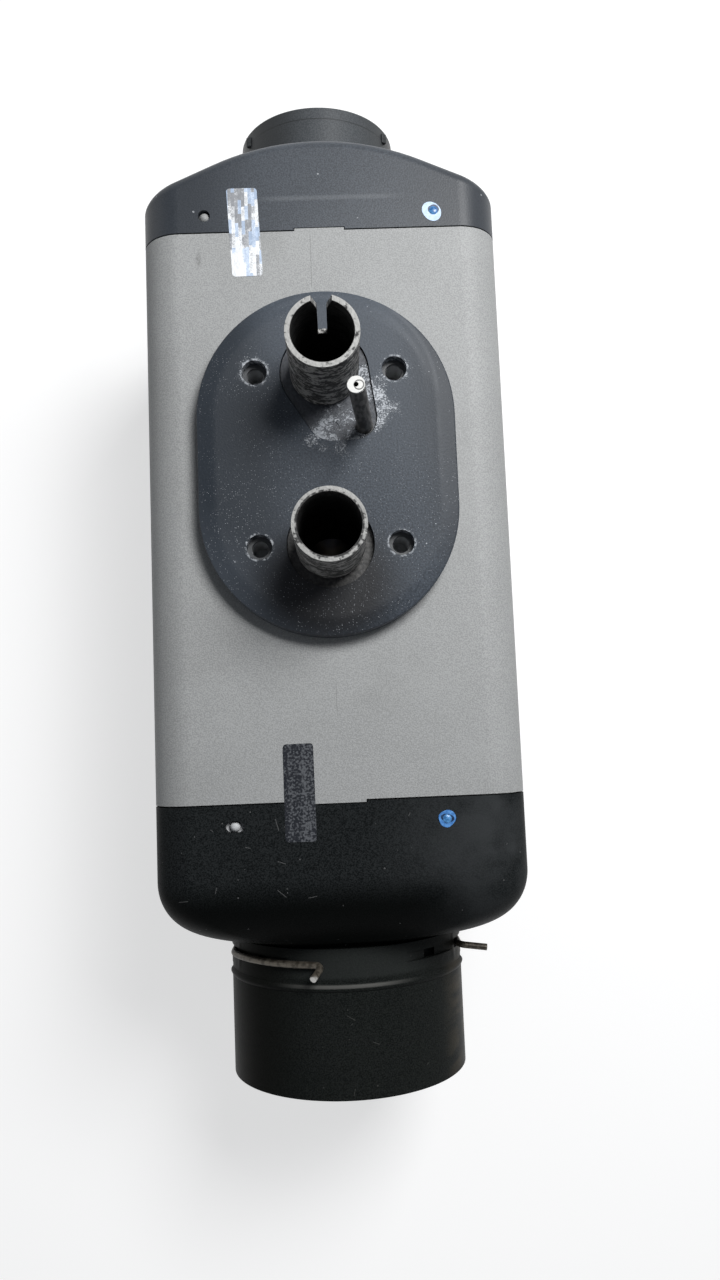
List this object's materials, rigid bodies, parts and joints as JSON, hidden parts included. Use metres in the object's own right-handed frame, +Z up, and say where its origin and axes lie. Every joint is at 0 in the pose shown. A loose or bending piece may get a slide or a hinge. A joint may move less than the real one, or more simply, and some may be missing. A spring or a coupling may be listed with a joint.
{
  "type": "diesel air heater",
  "caption": "Ducted diesel air heater: long grey jacket with a charcoal intake cap, black outlet hood and spigot, and a flange with exhaust, combustion air and fuel pipes.",
  "frame": {"origin": "centre of the footprint, on the flat back face the heater lies on", "axes": "+X across the heater, +Y along it towards the air intake, +Z up towards the mounting flange and its pipes"},
  "size_m": [0.131, 0.3824, 0.1763],
  "materials": {
    "jacket": "fine-grained satin, mid grey",
    "cap": "fine-grained, charcoal",
    "hood": "satin, near black",
    "gasket": "dusty slate grey",
    "cast_aluminium": "as cast",
    "pipe_steel": "scaled by heat, bright rims",
    "fuel_steel": "plain drawn tube",
    "wire": "galvanised, yellowed",
    "burner_steel": "heat tinted sheet",
    "fleece": "metal fibre fleece",
    "thin_gasket": "fibre sheet",
    "impeller": "black glass-filled",
    "fan": "black moulded",
    "motor_steel": "zinc plated",
    "magnet": "ferrite",
    "armature": "laminated core with copper windings",
    "shaft_steel": "ground",
    "bearing": "ground",
    "screw_steel": "zinc plated",
    "unit_plastic": "black moulded",
    "sensor": "black body",
    "spring": "spring strip",
    "plug": "nickel plated",
    "seal_rubber": "matt black",
    "guard": "moulded, charcoal"
  },
  "bodies": {
    "heater": {"jacket_flange_half": "jacket", "jacket_back_half": "jacket", "intake_cap": "cap", "intake_spigot": "cap", "intake_guard": "guard", "outlet_hood": "hood", "outlet_spigot": "hood", "spigot_clip": "wire", "flange_gasket": "gasket", "heat_exchanger": "cast_aluminium", "exhaust_pipe": "pipe_steel", "combustion_air_pipe": "pipe_steel", "fuel_pipe": "fuel_steel", "glow_plug": "plug", "burner_tube": "burner_steel", "burner_gasket": "thin_gasket", "evaporator_fleece": "fleece", "blower_gasket": "thin_gasket", "blower_cover": "cast_aluminium", "blower_housing": "cast_aluminium", "blower_screws": "screw_steel", "motor_can": "motor_steel", "motor_bearings": "bearing", "motor_magnets": "magnet", "motor_screws": "screw_steel", "control_unit_case": "unit_plastic", "control_unit_lid": "cast_aluminium", "overheat_sensor": "sensor", "sensor_clip": "spring", "cable_grommet": "seal_rubber"},
    "rotor": {"motor_shaft": "shaft_steel", "motor_armature": "armature", "combustion_impeller": "impeller", "hot_air_fan": "fan"}
  },
  "joints": [
    {"name": "fan_spin", "type": "hinge", "parent": "heater", "child": "rotor", "pos_m": [0, 0.11614, 0.066], "axis": [0, 1, 0], "continuous": true}
  ]
}
